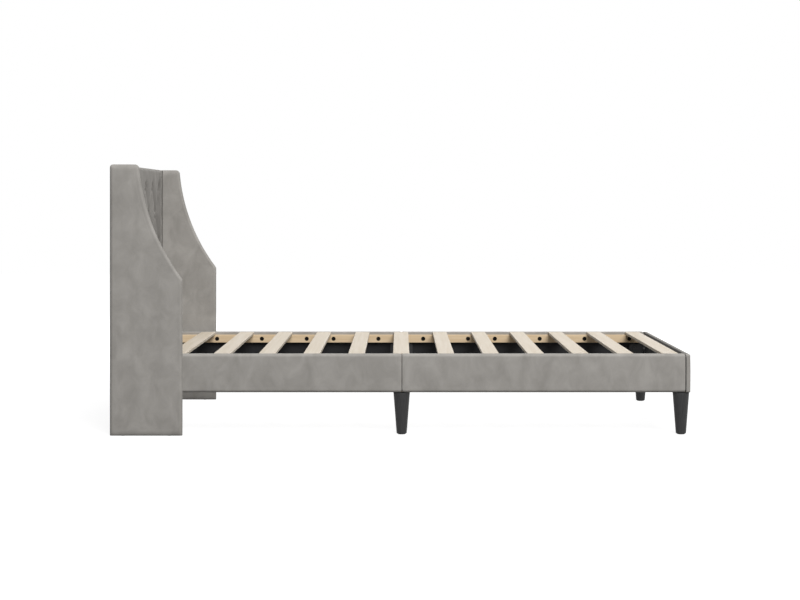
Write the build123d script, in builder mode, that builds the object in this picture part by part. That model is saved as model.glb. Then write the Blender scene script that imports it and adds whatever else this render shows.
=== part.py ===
from build123d import *
from math import atan2, cos, degrees, pi
import os

# Wingback upholstered single bed with a tufted headboard, a slatted base and four
# turned legs. Millimetres. X runs from the headboard to the foot, Y across the bed
# and Z up. The origin is on the floor under the middle of the bed. Left is the side
# at minus Y, which is on the left of someone who stands at the foot.

os.makedirs("parts", exist_ok=True)

# Overall sizes
bed_length = 1966
bed_width = 1050
bed_height = 917

# Gaps and cuts that serve the whole bed
seat_gap = 0.3
overrun = 1
bolt_slack = 0.1

# Small round parts repeat so often that they are drawn with few sides
shank_sides = 6
head_sides = 10
leg_sides = 30

# Wings: a board inside a padded velvet cover that is open at the foot
wing_thickness = 23
wing_depth = 245.3
wing_top_depth = 98.6
wing_waist_depth = 146.5
wing_waist_height = 704
wing_elbow_height = 528
wing_back_corner_radius = 10
wing_front_corner_radius = 16
wing_elbow_radius = 10
wing_edge_radius = 9
wing_edge_padding = 9
wing_face_padding = 2.5

# Nail-on glides under the wings and legs
glide_height = 2.5
wing_glide_radius = 7
wing_glide_inset = 45
leg_glide_radius = 13

# Headboard panel between the wings
panel_recess = 4
panel_board = 12
panel_cloth = 1
skirt_thickness = 1.2
pad_thickness = 16
pad_crest_radius = 12
pad_front_radius = 10
pad_bottom_height = 285
pad_back_flap = 30
back_cover_side_inset = 12
back_cover_foot_inset = 8

# Diamond tufting of the pad
tuft_columns = 6
tuft_rows = 4
tuft_top_margin = 70
tuft_row_pitch = 105
pleat_half_width = 34
pleat_depth = 5
tuft_reach = 36
tuft_depth = 10
button_radius = 10
button_rim = 2
button_crown = 1.3
button_slope = 4

# Dowels that join the headboard panel to the wings
dowel_radius = 4
dowel_length = 34
dowel_lower_height = 390
dowel_upper_drop = 157

# Side rails, in two halves a side that meet over the middle leg, a little past the middle
rail_thickness = 36
rail_height = 128.8
rail_padding = 7
rail_cloth = 1
rail_top_padding = 3
rail_under_padding = 1.5
rail_top_radius = 8
rail_foot_radius = 10
rail_lip_radius = 3
rail_end_edge = 1.5
rail_flap = 34
rail_joint_shift = 2.6

# Foot rail, which covers the ends of the side rails
foot_rail_thickness = 16.5
foot_rail_board = 9
foot_rail_crown = 1
foot_rail_top_radius = 8
foot_rail_foot_radius = 4
foot_rail_top_padding = 4
foot_rail_flap = 8

# Slats and the ledgers that carry them
slat_count = 13
slat_width = 56
slat_thickness = 11
slat_edge = 1.5
slat_proud = 1.4
slat_end_gap = 0.7
slat_first_gap = 20.4
slat_last_gap = 18.2
ledger_count = 3
ledger_first_gap = 6.85
ledger_depth = 20
ledger_height = 30
ledger_edge = 1

# Black bolts that hold the ledgers, sunk below their faces
ledger_bolt_count = 4
ledger_bolt_margin = 53.25
ledger_bolt_radius = 3
ledger_bolt_length = 34
ledger_head_radius = 6.5
ledger_head_height = 4
ledger_sink_radius = 7.5
ledger_sink_depth = 7

# Turned legs with a steel plate and a hanger bolt each
leg_height = 143.8
leg_top_radius = 27.8
leg_foot_radius = 17
leg_foot_edge = 1
leg_end_inset = 28.8
leg_plate_length = 44
leg_plate_width = 30
leg_plate_thickness = 2
leg_plate_corner = 5
hanger_radius = 4
hanger_depth = 30
hanger_rise = 24

# Black steel brackets and plates under the ledgers, with their hexagon bolts
bracket_flange = 58
bracket_height = 66
bracket_steel = 3
bracket_corner = 6
bracket_bend = 1.5
bracket_drop = 6
joint_plate_length = 88
frame_bolt_radius = 4
frame_bolt_length = 22
end_bolt_length = 12
frame_head_radius = 7
frame_head_height = 5
frame_bolt_rise = 16
frame_bolt_reach = 38
joint_bolt_reach = 26

# Places worked out from the sizes above
bed_back_x = -bed_length / 2
bed_foot_x = bed_length / 2
wing_inner_y = bed_width / 2 - wing_thickness
panel_half_width = wing_inner_y - seat_gap
panel_back_x = bed_back_x + panel_recess
board_back_x = panel_back_x + panel_cloth
board_front_x = board_back_x + panel_board
board_top_height = bed_height - pad_crest_radius
pad_front_x = board_front_x + pad_thickness
pad_flap_height = bed_height - pad_crest_radius - pad_back_flap

rail_bottom = leg_height
rail_top = leg_height + rail_height
rail_outer_y = wing_inner_y - seat_gap
rail_inner_y = rail_outer_y - rail_thickness
rail_head_x = board_front_x + skirt_thickness + seat_gap
foot_rail_inner_x = bed_foot_x - foot_rail_thickness
rail_foot_x = foot_rail_inner_x - seat_gap
base_middle_x = (rail_head_x + rail_foot_x) / 2
rail_joint_x = base_middle_x + rail_joint_shift
board_bottom = rail_bottom + rail_under_padding
flap_bottom = rail_top - rail_flap

clear_length = rail_foot_x - rail_head_x
slat_run = clear_length - slat_first_gap - slat_last_gap - slat_width
slat_pitch = slat_run / (slat_count - 1)
slat_top = rail_top + slat_proud
ledger_top = slat_top - slat_thickness
ledger_inner_y = rail_inner_y - ledger_depth
ledger_length = (clear_length - 2 * ledger_first_gap) / ledger_count
ledger_bolt_pitch = (ledger_length - 2 * ledger_bolt_margin) / (ledger_bolt_count - 1)
bracket_middle = ledger_top - ledger_height - bracket_drop - bracket_height / 2
leg_y = rail_outer_y - leg_top_radius - seat_gap
leg_xs = {"mid": rail_joint_x, "foot": bed_foot_x - leg_end_inset}
head_seat_x = rail_head_x - seat_gap
foot_seat_x = rail_foot_x + seat_gap


def keep(piece, name):
    """Labels a finished piece and writes it as its own file."""
    piece.part.label = name
    export_step(piece.part, f"parts/{name}.step")


def keep_pair(piece, name, ending=""):
    """Writes the left piece and its mirror image on the right."""
    keep(piece, f"{name}_left{ending}")
    with BuildPart() as twin:
        mirror(piece.part, about=Plane.XZ)
    keep(twin, f"{name}_right{ending}")


def pegs(spots, radius, start, length, sides=shank_sides):
    """Prisms that stand for round pegs or bores, one on each plane, from a height over it."""
    with BuildPart() as prisms:
        for spot in spots:
            with BuildSketch(spot.offset(start)):
                RegularPolygon(radius, sides)
            extrude(amount=length)
    return prisms


def lean(wide, narrow, height, sides):
    """The angle at which a polygon's flats lean in when its corner radius shrinks over a height."""
    return degrees(atan2((wide - narrow) * cos(pi / sides), height))


def wing_block(thickness, padding):
    """A slab of the wing's side outline, drawn in on every edge but the lowest by the padding."""
    outer_y = wing_inner_y + (wing_thickness + thickness) / 2
    lowest = glide_height - padding
    with BuildPart() as slab:
        with BuildSketch(Plane.XZ.offset(outer_y)) as outline:
            with BuildLine():
                hollow = ThreePointArc(
                    (bed_back_x + wing_top_depth, bed_height),
                    (bed_back_x + wing_waist_depth, wing_waist_height),
                    (bed_back_x + wing_depth, wing_elbow_height),
                )
                Polyline(
                    hollow @ 1,
                    (bed_back_x + wing_depth, lowest),
                    (bed_back_x, lowest),
                    (bed_back_x, bed_height),
                    hollow @ 0,
                )
            make_face()
            fillet(outline.vertices().sort_by_distance((bed_back_x, bed_height))[0], wing_back_corner_radius)
            fillet(outline.vertices().sort_by_distance(hollow @ 0)[0], wing_front_corner_radius)
            elbow = outline.vertices().sort_by_distance((bed_back_x + wing_depth, wing_elbow_height))[0]
            fillet(elbow, wing_elbow_radius)
            if padding:
                offset(amount=-padding, mode=Mode.REPLACE)
        extrude(amount=-thickness)
    return slab


def wing_dowel_spots():
    """Planes at the wing's inner face where the dowels cross it, facing outwards on the left."""
    middle_x = (board_back_x + board_front_x) / 2
    spots = []
    for height in (dowel_lower_height, bed_height - dowel_upper_drop):
        spots.append(Plane(origin=(middle_x, -wing_inner_y, height), x_dir=(1, 0, 0), z_dir=(0, -1, 0)))
    return spots


def wing_dowel_pegs():
    """The left dowels, half in the headboard and half in the wing."""
    return pegs(wing_dowel_spots(), dowel_radius, -dowel_length / 2, dowel_length)


def make_wings():
    """Left and right wing: a board, and the padded cover that is pulled over it from the top."""
    with BuildPart() as wing_core:
        add(wing_block(wing_thickness - 2 * wing_face_padding, wing_edge_padding))
        add(wing_dowel_pegs(), mode=Mode.SUBTRACT)
    keep_pair(wing_core, "wing_core")

    cover_block = wing_block(wing_thickness, 0)
    with BuildPart() as wing_cover:
        add(cover_block)
        rims = wing_cover.faces().filter_by(Axis.Y).edges()
        fillet(rims.filter_by(lambda edge: edge.center().Z > glide_height + overrun), wing_edge_radius)
        add(wing_block(wing_thickness - 2 * wing_face_padding, wing_edge_padding), mode=Mode.SUBTRACT)
        add(wing_dowel_pegs(), mode=Mode.SUBTRACT)
    keep_pair(wing_cover, "wing_cover")

    glide_xs = [bed_back_x + wing_glide_inset, bed_back_x + wing_depth - wing_glide_inset]
    with BuildPart() as wing_glides:
        with BuildSketch():
            with Locations(*[(glide_x, -wing_inner_y - wing_thickness / 2) for glide_x in glide_xs]):
                RegularPolygon(wing_glide_radius, head_sides)
        extrude(amount=glide_height)
        mirror(about=Plane.XZ)
    keep(wing_glides, "wing_glides")

    with BuildPart() as wing_dowels:
        add(wing_dowel_pegs())
        mirror(about=Plane.XZ)
    keep(wing_dowels, "wing_dowels")


def tuft_spots():
    """Rows of (y, z) button places: full rows, and rows with one button less set half a pitch over."""
    pitch = 2 * panel_half_width / tuft_columns
    rows = []
    for row in range(tuft_rows):
        count = tuft_columns - row % 2
        height = bed_height - tuft_top_margin - row * tuft_row_pitch
        rows.append([((place - (count - 1) / 2) * pitch, height) for place in range(count)])
    return rows


def tuft_planes(x, facing):
    """A plane across each button's axis at a place along the bed, facing the foot or the head."""
    spots = [spot for row in tuft_spots() for spot in row]
    return [Plane(origin=(x, *spot), x_dir=(0, 1, 0), z_dir=(facing, 0, 0)) for spot in spots]


def pleat_runs():
    """Pairs of button places that a fold joins: each button and its nearest ones in the row below."""
    rows = tuft_spots()
    runs = []
    for upper, lower in zip(rows, rows[1:]):
        step = 2 * panel_half_width / tuft_columns
        for start in upper:
            runs += [(start, end) for end in lower if abs(end[0] - start[0]) < step]
    return runs


def make_headboard():
    """The panel between the wings: board, tufted pad, buttons, and thin cloths low in front and behind."""
    with BuildPart() as headboard_core:
        with BuildSketch(Plane.YZ.offset(board_back_x)):
            with Locations((0, (board_bottom + board_top_height) / 2)):
                Rectangle(2 * panel_half_width, board_top_height - board_bottom)
        extrude(amount=panel_board)
        holes = wing_dowel_pegs().part + end_bolt_bores(head_seat_x, 1).part
        add(holes, mode=Mode.SUBTRACT)
        add(holes.mirror(Plane.XZ), mode=Mode.SUBTRACT)
    keep(headboard_core, "headboard_core")

    with BuildPart() as tuft_hollow:
        with BuildSketch():
            RegularPolygon(tuft_reach, head_sides)
        hollow_lean = lean(tuft_reach, button_radius + seat_gap, tuft_depth, head_sides)
        extrude(amount=tuft_depth, taper=hollow_lean)
    with BuildPart() as headboard_pad:
        with BuildSketch(Plane.XZ):
            with BuildLine():
                Polyline(
                    (pad_front_x, pad_bottom_height),
                    (pad_front_x, bed_height),
                    (panel_back_x, bed_height),
                    (panel_back_x, pad_flap_height),
                    (board_back_x, pad_flap_height),
                    (board_back_x, board_top_height),
                    (board_front_x, board_top_height),
                    (board_front_x, pad_bottom_height),
                    close=True,
                )
            make_face()
        extrude(amount=panel_half_width, both=True)
        crest = headboard_pad.edges().filter_by(Axis.Y).group_by(Axis.Z)[-1]
        fillet(crest.sort_by(Axis.X)[0], pad_crest_radius)
        fillet(headboard_pad.faces().sort_by(Axis.X)[-1].edges(), pad_front_radius)
        for start, end in pleat_runs():
            run = Vector(0, end[0] - start[0], end[1] - start[1])
            with BuildSketch(Plane(origin=(pad_front_x, *start), x_dir=(1, 0, 0), z_dir=run)):
                with BuildLine():
                    near = TangentArc((0, -pleat_half_width), (-pleat_depth, 0), tangent=(0, 1))
                    far = TangentArc((0, pleat_half_width), (-pleat_depth, 0), tangent=(0, -1))
                    Polyline(
                        near @ 0,
                        (overrun, -pleat_half_width),
                        (overrun, pleat_half_width),
                        far @ 0,
                    )
                make_face()
            extrude(amount=run.length, mode=Mode.SUBTRACT)
        with Locations(*tuft_planes(pad_front_x, -1)):
            add(tuft_hollow, mode=Mode.SUBTRACT)
    keep(headboard_pad, "headboard_pad")

    with BuildPart() as button:
        with BuildSketch():
            RegularPolygon(button_radius, head_sides)
        extrude(amount=button_rim)
        with BuildSketch(Plane.XY.offset(button_rim)):
            RegularPolygon(button_radius, head_sides)
        extrude(amount=button_crown, taper=lean(button_slope, 0, button_crown, head_sides))
    with BuildPart() as tuft_buttons:
        with Locations(*tuft_planes(pad_front_x - tuft_depth, 1)):
            add(button)
    keep(tuft_buttons, "tuft_buttons")

    with BuildPart() as headboard_skirt_cover:
        with BuildSketch(Plane.YZ.offset(board_front_x)):
            with Locations((0, (board_bottom + pad_bottom_height) / 2)):
                Rectangle(2 * panel_half_width, pad_bottom_height - board_bottom)
        extrude(amount=skirt_thickness)
        add(end_bolt_bores(head_seat_x, 1), mode=Mode.SUBTRACT)
        add(end_bolt_bores(head_seat_x, 1).part.mirror(Plane.XZ), mode=Mode.SUBTRACT)
    keep(headboard_skirt_cover, "headboard_skirt_cover")

    cover_foot = board_bottom + back_cover_foot_inset
    with BuildPart() as headboard_back_cover:
        with BuildSketch(Plane.YZ.offset(panel_back_x)):
            with Locations((0, (cover_foot + pad_flap_height) / 2)):
                Rectangle(2 * (panel_half_width - back_cover_side_inset), pad_flap_height - cover_foot)
        extrude(amount=panel_cloth)
    keep(headboard_back_cover, "headboard_back_cover")


def ledger_bolt_spots(place):
    """Planes on a left ledger's face at its bolts, facing the middle of the bed."""
    middle_x = base_middle_x + (place - (ledger_count - 1) / 2) * ledger_length
    height = ledger_top - ledger_height / 2
    spots = []
    for bolt in range(ledger_bolt_count):
        bolt_x = middle_x + (bolt - (ledger_bolt_count - 1) / 2) * ledger_bolt_pitch
        spots.append(Plane(origin=(bolt_x, -ledger_inner_y, height), x_dir=(1, 0, 0), z_dir=(0, 1, 0)))
    return spots


def rail_plane(x, height):
    """A plane on the left rail's inner face, facing the middle of the bed."""
    return Plane(origin=(x, -rail_inner_y, height), x_dir=(1, 0, 0), z_dir=(0, 1, 0))


def rail_bolt_spots(xs):
    """Planes where bolts enter the left rail's inner face, facing the middle of the bed."""
    spots = []
    for bolt_x in xs:
        for rise in (-frame_bolt_rise, frame_bolt_rise):
            spots.append(rail_plane(bolt_x, bracket_middle + rise))
    return spots


def board_bolt_spots(seat_x, inwards):
    """Planes where the left bracket's bolts enter the headboard or the foot rail, facing the bed."""
    bolt_y = frame_bolt_reach - rail_inner_y
    spots = []
    for rise in (-frame_bolt_rise, frame_bolt_rise):
        place = (seat_x, bolt_y, bracket_middle + rise)
        spots.append(Plane(origin=place, x_dir=(0, 1, 0), z_dir=(inwards, 0, 0)))
    return spots


def end_bolt_bores(seat_x, inwards):
    """What the left bracket's bolts take out of the headboard or the foot rail."""
    reach = end_bolt_length - bracket_steel
    return pegs(board_bolt_spots(seat_x, inwards), frame_bolt_radius, -reach, reach)


def all_rail_bolt_xs():
    """Places along a side rail of the bolts of its two brackets and its joint plate."""
    head_x = head_seat_x + frame_bolt_reach
    foot_x = foot_seat_x - frame_bolt_reach
    return [head_x, rail_joint_x - joint_bolt_reach, rail_joint_x + joint_bolt_reach, foot_x]


def left_rail_bores():
    """The bores of every bolt that enters the left rail."""
    frame_depth_in = frame_bolt_length - bracket_steel
    with BuildPart() as bores:
        for place in range(ledger_count):
            reach = ledger_bolt_length + ledger_sink_depth
            add(pegs(ledger_bolt_spots(place), ledger_bolt_radius, -reach, reach))
        add(pegs(rail_bolt_spots(all_rail_bolt_xs()), frame_bolt_radius, -frame_depth_in, frame_depth_in))
        with BuildSketch(Plane.XY.offset(rail_bottom)):
            with Locations(*[(leg_x, -leg_y) for leg_x in leg_xs.values()]):
                RegularPolygon(hanger_radius + bolt_slack, shank_sides)
        extrude(amount=hanger_rise)
    return bores


def block(low, high):
    """A box from its lowest to its highest corner, for the current part to take up."""
    with BuildPart() as piece:
        with BuildSketch(Plane.XY.offset(low[2])):
            with Locations(((low[0] + high[0]) / 2, (low[1] + high[1]) / 2)):
                Rectangle(high[0] - low[0], high[1] - low[1])
        extrude(amount=high[2] - low[2])
    return piece


def make_side_rail(start_x, end_x, ending):
    """One half of a side rail: a board, a padded cover that wraps over its top, and a lining inside."""
    board_start = start_x + rail_cloth
    board_end = end_x - rail_cloth
    board_inner_y = -rail_inner_y - rail_cloth
    board_outer_y = -rail_outer_y + rail_padding
    board = block(
        (board_start, board_outer_y, board_bottom),
        (board_end, board_inner_y, rail_top - rail_top_padding),
    )
    lining = block(
        (board_start, board_inner_y, board_bottom),
        (board_end, -rail_inner_y, flap_bottom),
    )

    bores = left_rail_bores()
    with BuildPart() as side_rail_core:
        add(board)
        add(bores, mode=Mode.SUBTRACT)
    keep_pair(side_rail_core, "side_rail_core", ending)

    with BuildPart() as side_rail_lining:
        add(lining)
        add(bores, mode=Mode.SUBTRACT)
    keep_pair(side_rail_lining, "side_rail_lining", ending)

    with BuildPart() as side_rail_cover:
        with BuildSketch(Plane.YZ.offset(start_x)) as section:
            with BuildLine():
                Polyline(
                    (-rail_outer_y, rail_bottom),
                    (-rail_outer_y, rail_top),
                    (-rail_inner_y, rail_top),
                    (-rail_inner_y, rail_bottom),
                    close=True,
                )
            make_face()
            fillet(section.vertices().sort_by_distance((-rail_outer_y, rail_bottom))[0], rail_foot_radius)
            fillet(section.vertices().sort_by_distance((-rail_outer_y, rail_top))[0], rail_top_radius)
            fillet(section.vertices().sort_by_distance((-rail_inner_y, rail_top))[0], rail_lip_radius)
        extrude(amount=end_x - start_x)
        chamfer(side_rail_cover.faces().filter_by(Axis.X).edges(), rail_end_edge)
        add(board, mode=Mode.SUBTRACT)
        add(lining, mode=Mode.SUBTRACT)
        add(bores, mode=Mode.SUBTRACT)
    keep_pair(side_rail_cover, "side_rail_cover", ending)


def make_foot_rail():
    """The foot rail: a thin board, a crowned cover, and a lining on the side that faces the slats."""
    board_y = rail_outer_y - rail_cloth
    board_x = foot_rail_inner_x + rail_cloth
    board = block(
        (board_x, -board_y, board_bottom),
        (board_x + foot_rail_board, board_y, rail_top - foot_rail_top_padding),
    )
    lining = block(
        (foot_rail_inner_x, -board_y, board_bottom),
        (board_x, board_y, rail_top - foot_rail_flap),
    )

    holes = end_bolt_bores(foot_seat_x, -1).part
    with BuildPart() as foot_rail_core:
        add(board)
        add(holes, mode=Mode.SUBTRACT)
        add(holes.mirror(Plane.XZ), mode=Mode.SUBTRACT)
    keep(foot_rail_core, "foot_rail_core")

    with BuildPart() as foot_rail_lining:
        add(lining)
        add(holes, mode=Mode.SUBTRACT)
        add(holes.mirror(Plane.XZ), mode=Mode.SUBTRACT)
    keep(foot_rail_lining, "foot_rail_lining")

    with BuildPart() as foot_rail_cover:
        with BuildSketch(Plane.XZ) as section:
            with BuildLine():
                crown = ThreePointArc(
                    (bed_foot_x - foot_rail_crown, rail_bottom),
                    (bed_foot_x, (rail_bottom + rail_top) / 2),
                    (bed_foot_x - foot_rail_crown, rail_top),
                )
                Polyline(
                    crown @ 1,
                    (foot_rail_inner_x, rail_top),
                    (foot_rail_inner_x, rail_bottom),
                    crown @ 0,
                )
            make_face()
            fillet(section.vertices().sort_by_distance(crown @ 1)[0], foot_rail_top_radius)
            fillet(section.vertices().sort_by_distance(crown @ 0)[0], foot_rail_foot_radius)
            fillet(section.vertices().sort_by_distance((foot_rail_inner_x, rail_top))[0], rail_lip_radius)
        extrude(amount=rail_outer_y, both=True)
        chamfer(foot_rail_cover.faces().filter_by(Axis.Y).edges(), rail_end_edge)
        add(board, mode=Mode.SUBTRACT)
        add(lining, mode=Mode.SUBTRACT)
    keep(foot_rail_cover, "foot_rail_cover")


def make_ledgers():
    """Three ledger strips a side, bolted through the rails, with their bolts sunk below the face."""
    for place, ending in enumerate(("_head", "_mid", "_foot")):
        start_x = base_middle_x + (place - ledger_count / 2) * ledger_length
        with BuildPart() as ledger:
            add(
                block(
                    (start_x, -rail_inner_y, ledger_top - ledger_height),
                    (start_x + ledger_length, -ledger_inner_y, ledger_top),
                )
            )
            inner = ledger.faces().sort_by(Axis.Y)[-1]
            chamfer(inner.edges().filter_by(Axis.X), ledger_edge)
            spots = ledger_bolt_spots(place)
            sinks = pegs(spots, ledger_sink_radius, -ledger_sink_depth, ledger_sink_depth, head_sides)
            add(sinks, mode=Mode.SUBTRACT)
            add(pegs(spots, ledger_bolt_radius, -ledger_depth, ledger_depth), mode=Mode.SUBTRACT)
        keep_pair(ledger, "ledger", ending)

    with BuildPart() as ledger_bolts:
        for place in range(ledger_count):
            seats = [spot.offset(-ledger_sink_depth) for spot in ledger_bolt_spots(place)]
            add(pegs(seats, ledger_head_radius, 0, ledger_head_height, head_sides))
            add(pegs(seats, ledger_bolt_radius, -ledger_bolt_length, ledger_bolt_length))
    keep_pair(ledger_bolts, "ledger_bolts")


def make_slats():
    """Loose slats that lie on the ledgers, with eased edges."""
    half_length = rail_inner_y - slat_end_gap
    for place in range(slat_count):
        middle_x = rail_head_x + slat_first_gap + slat_width / 2 + place * slat_pitch
        with BuildPart() as slat:
            add(
                block(
                    (middle_x - slat_width / 2, -half_length, ledger_top),
                    (middle_x + slat_width / 2, half_length, slat_top),
                )
            )
            chamfer(slat.edges().filter_by(Axis.Y), slat_edge)
        keep(slat, f"slat_{place + 1:02d}")


def make_legs():
    """Four turned and tapered legs with their glides, mounting plates and hanger bolts."""
    leg_top = leg_height - leg_plate_thickness
    leg_length = leg_top - glide_height
    with BuildPart() as turned_leg:
        with BuildSketch():
            RegularPolygon(leg_top_radius, leg_sides)
        extrude(amount=leg_length, taper=lean(leg_top_radius, leg_foot_radius, leg_length, leg_sides))
        chamfer(turned_leg.faces().sort_by(Axis.Z)[-1].edges(), leg_foot_edge)
        with BuildSketch():
            RegularPolygon(hanger_radius, shank_sides)
        extrude(amount=hanger_depth, mode=Mode.SUBTRACT)
    for name, leg_x in leg_xs.items():
        with BuildPart() as leg:
            with Locations(Plane(origin=(leg_x, -leg_y, leg_top), z_dir=(0, 0, -1))):
                add(turned_leg)
        keep_pair(leg, "leg", f"_{name}")

    spots = [(leg_x, side * leg_y) for leg_x in leg_xs.values() for side in (-1, 1)]
    with BuildPart() as leg_glides:
        with BuildSketch():
            with Locations(*spots):
                RegularPolygon(leg_glide_radius, head_sides)
        extrude(amount=glide_height)
    keep(leg_glides, "leg_glides")

    with BuildPart() as leg_plates:
        with BuildSketch(Plane.XY.offset(leg_top)) as plates:
            with Locations(*spots):
                Rectangle(leg_plate_length, leg_plate_width)
            chamfer(plates.vertices(), leg_plate_corner)
            with Locations(*spots):
                RegularPolygon(hanger_radius + bolt_slack, shank_sides, mode=Mode.SUBTRACT)
        extrude(amount=leg_plate_thickness)
    keep(leg_plates, "leg_plates")

    with BuildPart() as leg_hanger_bolts:
        with BuildSketch(Plane.XY.offset(leg_top - hanger_depth)):
            with Locations(*spots):
                RegularPolygon(hanger_radius, shank_sides)
        extrude(amount=hanger_depth + leg_plate_thickness + hanger_rise)
    keep(leg_hanger_bolts, "leg_hanger_bolts")


def corner_bracket(seat_x, inwards):
    """Left angle bracket between a side rail and the board that its end meets."""
    corner_y = -rail_inner_y
    with BuildPart() as bracket:
        with BuildSketch(Plane.XY.offset(bracket_middle - bracket_height / 2)) as angle:
            with BuildLine():
                Polyline(
                    (seat_x, corner_y),
                    (seat_x + inwards * bracket_flange, corner_y),
                    (seat_x + inwards * bracket_flange, corner_y + bracket_steel),
                    (seat_x + inwards * bracket_steel, corner_y + bracket_steel),
                    (seat_x + inwards * bracket_steel, corner_y + bracket_flange),
                    (seat_x, corner_y + bracket_flange),
                    close=True,
                )
            make_face()
            inside = (seat_x + inwards * bracket_steel, corner_y + bracket_steel)
            fillet(angle.vertices().sort_by_distance(inside)[0], bracket_bend)
        extrude(amount=bracket_height)
        tips = bracket.edges().filter_by(Axis.Y).group_by(SortBy.LENGTH)[0]
        tips += bracket.edges().filter_by(Axis.X).group_by(SortBy.LENGTH)[0]
        chamfer(tips, bracket_corner)
        spots = rail_bolt_spots([seat_x + inwards * frame_bolt_reach])
        spots += board_bolt_spots(seat_x, inwards)
        add(pegs(spots, frame_bolt_radius + bolt_slack, 0, bracket_steel), mode=Mode.SUBTRACT)
    return bracket


def hexagon_bolts(spots, length):
    """Bolts with hexagon heads that clamp bracket steel; each plane lies under the steel."""
    with BuildPart() as bolts:
        add(pegs(spots, frame_head_radius, bracket_steel, frame_head_height))
        add(pegs(spots, frame_bolt_radius, bracket_steel - length, length))
    return bolts


def make_fittings():
    """Steel fittings below the ledgers: corner brackets, joint plates and their bolts."""
    for name, seat_x, inwards in (("head", head_seat_x, 1), ("foot", foot_seat_x, -1)):
        bracket = corner_bracket(seat_x, inwards)
        rail_x = seat_x + inwards * frame_bolt_reach
        with BuildPart() as brackets:
            add(bracket)
            mirror(about=Plane.XZ)
        keep(brackets, f"{name}_corner_brackets")
        with BuildPart() as bolts:
            add(hexagon_bolts(rail_bolt_spots([rail_x]), frame_bolt_length))
            add(hexagon_bolts(board_bolt_spots(seat_x, inwards), end_bolt_length))
            mirror(about=Plane.XZ)
        keep(bolts, f"{name}_corner_bolts")

    joint_spots = rail_bolt_spots([rail_joint_x - joint_bolt_reach, rail_joint_x + joint_bolt_reach])
    with BuildPart() as rail_joint_plates:
        with BuildSketch(rail_plane(rail_joint_x, bracket_middle)) as plate:
            Rectangle(joint_plate_length, bracket_height)
            chamfer(plate.vertices(), bracket_corner)
        extrude(amount=bracket_steel)
        add(pegs(joint_spots, frame_bolt_radius + bolt_slack, 0, bracket_steel), mode=Mode.SUBTRACT)
        mirror(about=Plane.XZ)
    keep(rail_joint_plates, "rail_joint_plates")

    with BuildPart() as rail_joint_bolts:
        add(hexagon_bolts(joint_spots, frame_bolt_length))
        mirror(about=Plane.XZ)
    keep(rail_joint_bolts, "rail_joint_bolts")


make_wings()
make_headboard()
make_side_rail(rail_head_x, rail_joint_x - seat_gap / 2, "_head")
make_side_rail(rail_joint_x + seat_gap / 2, rail_foot_x, "_foot")
make_foot_rail()
make_ledgers()
make_slats()
make_legs()
make_fittings()
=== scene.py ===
import math

import bmesh
import bpy
import numpy as np
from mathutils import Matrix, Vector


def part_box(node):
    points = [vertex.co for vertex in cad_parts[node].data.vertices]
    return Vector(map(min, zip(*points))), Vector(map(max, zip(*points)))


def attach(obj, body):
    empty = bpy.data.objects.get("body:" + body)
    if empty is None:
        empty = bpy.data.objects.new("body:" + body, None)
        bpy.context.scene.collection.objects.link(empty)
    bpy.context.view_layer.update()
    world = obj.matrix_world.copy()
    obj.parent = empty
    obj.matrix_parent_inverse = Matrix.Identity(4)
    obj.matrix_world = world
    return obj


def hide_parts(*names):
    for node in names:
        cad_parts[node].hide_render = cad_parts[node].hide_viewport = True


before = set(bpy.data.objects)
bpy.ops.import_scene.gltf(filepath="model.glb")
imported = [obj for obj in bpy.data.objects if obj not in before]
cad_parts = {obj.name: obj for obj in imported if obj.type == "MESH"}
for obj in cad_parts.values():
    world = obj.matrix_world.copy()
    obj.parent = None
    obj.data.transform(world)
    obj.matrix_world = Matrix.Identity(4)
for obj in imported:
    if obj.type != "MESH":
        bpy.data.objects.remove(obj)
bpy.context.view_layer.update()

# The view and the light: a level camera before the bed's left side, with its frame slid
# down so that upright edges stay upright, soft plain lamps, and a floor of pale paper.
# Here and below, sizes and places are in metres.
photo_width = 800
photo_height = 600
lens_pixels = 1654.4
horizon_pixel = 202.3
sensor_width = 36
camera_place = (-0.00225, -6.1075, 0.7887)

camera_data = bpy.data.cameras.new("camera")
camera_data.sensor_width = sensor_width
camera_data.lens = sensor_width * lens_pixels / photo_width
camera_data.shift_y = (horizon_pixel - photo_height / 2) / photo_width
camera = bpy.data.objects.new("camera", camera_data)
camera.location = camera_place
camera.rotation_euler = (math.pi / 2, 0, 0)
bpy.context.scene.collection.objects.link(camera)
bpy.context.scene.camera = camera
bpy.context.scene.view_settings.view_transform = "Standard"


def add_node(tree, kind, inputs=None, **settings):
    """Adds a shader node with its settings and the values of its inputs."""
    made = tree.nodes.new(kind)
    for name, value in settings.items():
        setattr(made, name, value)
    for name, value in (inputs or {}).items():
        made.inputs[name].default_value = value
    return made


def join(tree, *pairs):
    """Links the output to the input in each pair of a shader tree's sockets."""
    for output, goal in pairs:
        tree.links.new(output, goal)


def lamp(name, place, aim, size, power):
    """A soft square lamp that faces a point. Its tilt is the angle between straight down and the
    line to that point, and its turn is the angle of that line seen from above."""
    data = bpy.data.lights.new(name, "AREA")
    data.size = size
    data.energy = power
    made = bpy.data.objects.new(name, data)
    made.location = place
    towards = np.array(aim, float) - np.array(place, float)
    tilt = math.atan2(math.hypot(towards[0], towards[1]), -towards[2])
    made.rotation_euler = (tilt, 0, math.atan2(-towards[0], towards[1]))
    bpy.context.scene.collection.objects.link(made)
    return made


# The back lamp lights the edges from behind. It makes no gloss, or the slats would turn white.
lamp("key_lamp", place=(3.2, -9.2, 8.6), aim=(-1.0, 0, 0.3), size=7.4, power=1960)
lamp("top_lamp", place=(0.2, 0, 4.6), aim=(0.2, 0, 0), size=2.6, power=62)
back_lamp = lamp("back_lamp", place=(0.8, 5.0, 2.0), aim=(0, 0, 0.4), size=3.0, power=150)
back_lamp.visible_glossy = False


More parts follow.
